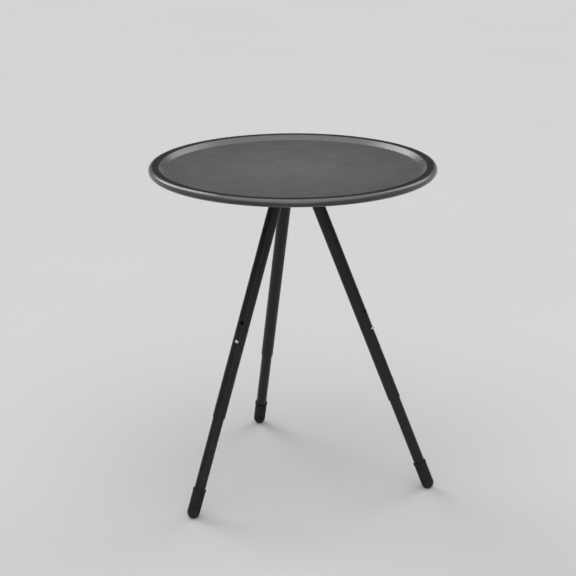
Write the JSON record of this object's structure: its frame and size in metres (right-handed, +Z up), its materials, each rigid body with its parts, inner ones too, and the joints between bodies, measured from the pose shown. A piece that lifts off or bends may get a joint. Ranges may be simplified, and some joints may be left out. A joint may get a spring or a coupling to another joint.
{
  "type": "camping table",
  "caption": "Round camping table: a pressed metal tray with a rolled rim on splayed telescopic tube legs that lock by snap buttons and end in rubber caps.",
  "frame": {"origin": "on the floor, under the middle of the tray", "axes": "+Z up from the floor to the tray, -Y towards the front, between the left and the right leg"},
  "size_m": [0.3999, 0.4087, 0.47],
  "materials": {
    "tray_paint": "semi-gloss black on the rim, matt on the floor",
    "tube_paint": "satin black",
    "hub_casting": "cast, coated black",
    "plug_metal": "turned",
    "zinc_steel": "zinc plated",
    "spring_steel": "rolled",
    "button_metal": "bright",
    "bush_plastic": "moulded",
    "cap_rubber": "matt"
  },
  "bodies": {
    "frame": {"tray_top": "tray_paint", "weld_studs": "zinc_steel", "leg_hub": "hub_casting", "hub_washers": "zinc_steel", "hub_nuts": "zinc_steel", "leg_stud_left": "zinc_steel", "leg_plug_left": "plug_metal", "upper_tube_left": "tube_paint", "leg_stud_right": "zinc_steel", "leg_plug_right": "plug_metal", "upper_tube_right": "tube_paint", "leg_stud_back": "zinc_steel", "leg_plug_back": "plug_metal", "upper_tube_back": "tube_paint"},
    "lower_leg_left": {"lower_tube_left": "tube_paint", "guide_bush_left": "bush_plastic", "spring_clip_left": "spring_steel", "foot_cap_left": "cap_rubber"},
    "button_left": {"snap_button_left": "button_metal"},
    "lower_leg_right": {"lower_tube_right": "tube_paint", "guide_bush_right": "bush_plastic", "spring_clip_right": "spring_steel", "foot_cap_right": "cap_rubber"},
    "button_right": {"snap_button_right": "button_metal"},
    "lower_leg_back": {"lower_tube_back": "tube_paint", "guide_bush_back": "bush_plastic", "spring_clip_back": "spring_steel", "foot_cap_back": "cap_rubber"},
    "button_back": {"snap_button_back": "button_metal"}
  },
  "joints": [
    {"name": "leg_slide_left", "type": "slide", "parent": "frame", "child": "lower_leg_left", "axis": [-0.3243, -0.1873, -0.9272], "range_m": [-0.0265, 0.0795], "deforming": ["snap_button_left"]},
    {"name": "button_press_left", "type": "slide", "parent": "lower_leg_left", "child": "button_left", "axis": [0.4885, 0.8062, -0.3337], "range_m": [0, 0.0046], "stiffness_N_per_m": 2500, "springref_m": -0.001, "deforming": ["spring_clip_left"]},
    {"name": "leg_slide_right", "type": "slide", "parent": "frame", "child": "lower_leg_right", "axis": [0.3243, -0.1873, -0.9272], "range_m": [-0.0265, 0.0795], "deforming": ["snap_button_right"]},
    {"name": "button_press_right", "type": "slide", "parent": "lower_leg_right", "child": "button_right", "axis": [-0.6217, 0.6966, -0.3581], "range_m": [0, 0.0046], "stiffness_N_per_m": 2500, "springref_m": -0.001, "deforming": ["spring_clip_right"]},
    {"name": "leg_slide_back", "type": "slide", "parent": "frame", "child": "lower_leg_back", "axis": [0, 0.3745, -0.9272], "range_m": [-0.0265, 0.0795], "deforming": ["snap_button_back"]},
    {"name": "button_press_back", "type": "slide", "parent": "lower_leg_back", "child": "button_back", "axis": [0.2419, -0.8997, -0.3634], "range_m": [0, 0.0046], "stiffness_N_per_m": 2500, "springref_m": -0.001, "deforming": ["spring_clip_back"]}
  ]
}
